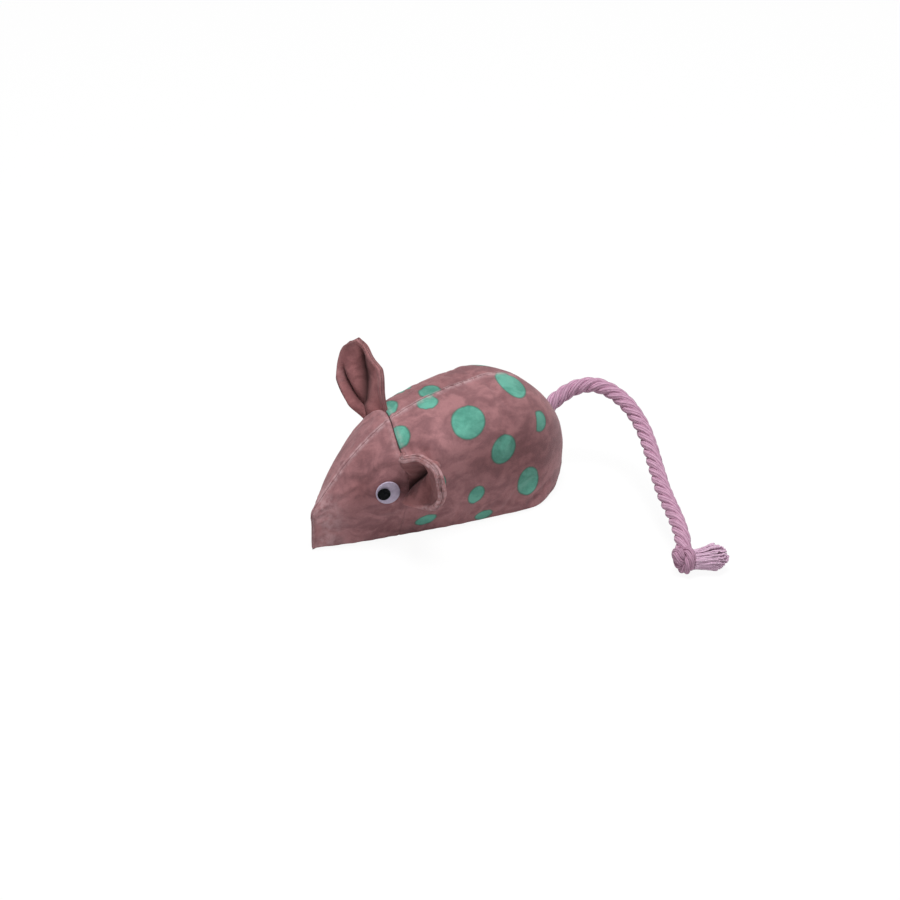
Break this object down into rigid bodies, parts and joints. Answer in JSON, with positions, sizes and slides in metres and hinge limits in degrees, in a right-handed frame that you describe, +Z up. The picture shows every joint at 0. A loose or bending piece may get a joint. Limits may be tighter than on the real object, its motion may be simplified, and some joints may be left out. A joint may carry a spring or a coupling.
{
  "type": "catnip mouse",
  "caption": "Stuffed velvet toy mouse with polka-dot body panels, folded cloth ears, eyes with loose pupils, a flat base and a rope tail that ends in a knot and a frayed tuft.",
  "frame": {"origin": "middle of the underside of the flat base panel, on the surface that the toy stands on", "axes": "+Z up, the nose points to -X and the rope tail leaves at +X, the mouse's left side is -Y"},
  "size_m": [0.1089, 0.113, 0.0525],
  "materials": {
    "plain_velvet": "brushed short-pile velvet",
    "spotted_velvet": "brushed short-pile velvet printed with mint polka dots",
    "ear_velvet": "brushed short-pile velvet, two layers",
    "white_plastic": "satin",
    "black_plastic": "satin",
    "clear_plastic": "clear and glossy",
    "polyester_wad": "loose fibre",
    "dried_leaf": "dry crumbled leaves",
    "cotton_rope": "matte twisted yarn"
  },
  "bodies": {
    "mouse": {"head_left": "plain_velvet", "head_right": "plain_velvet", "body_left": "spotted_velvet", "body_right": "spotted_velvet", "base_panel": "plain_velvet", "eye_left_disc": "white_plastic", "eye_left_cover": "clear_plastic", "eye_right_disc": "white_plastic", "eye_right_cover": "clear_plastic", "filling_front": "polyester_wad", "filling_rear": "polyester_wad", "catnip_leaves": "dried_leaf", "tail_inner_end": "cotton_rope"},
    "ear_left": {"ear_left_front": "ear_velvet", "ear_left_back": "ear_velvet"},
    "ear_right": {"ear_right_front": "ear_velvet", "ear_right_back": "ear_velvet"},
    "pupil_left": {"eye_left_pupil": "black_plastic"},
    "pupil_right": {"eye_right_pupil": "black_plastic"},
    "tail": {"tail_rope": "cotton_rope", "tail_knot": "cotton_rope", "tail_tuft": "cotton_rope"}
  },
  "joints": [
    {"name": "ear_left_flex", "type": "hinge", "parent": "mouse", "child": "ear_left", "pos_m": [-0.01966, -0.01445, 0.025], "axis": [0.0602, -0.2247, -0.9726], "range_deg": [-15, 40], "stiffness_Nm_per_rad": 0.001},
    {"name": "ear_right_flex", "type": "hinge", "parent": "mouse", "child": "ear_right", "pos_m": [-0.01591, 0.01067, 0.033], "axis": [0.3301, -0.7405, 0.5854], "range_deg": [-10, 40], "stiffness_Nm_per_rad": 0.001},
    {"name": "eye_left_roll", "type": "hinge", "parent": "mouse", "child": "pupil_left", "pos_m": [-0.02631, -0.01283, 0.0196], "axis": [-0.3665, -0.9304, -0.0035], "continuous": true},
    {"name": "eye_right_roll", "type": "hinge", "parent": "mouse", "child": "pupil_right", "pos_m": [-0.02629, 0.01243, 0.01545], "axis": [-0.3161, 0.9344, -0.1644], "continuous": true},
    {"name": "tail_swing", "type": "hinge", "parent": "mouse", "child": "tail", "pos_m": [0.0422, 0, 0.0196], "axis": [0, 0, 1], "range_deg": [-25, 25]}
  ]
}
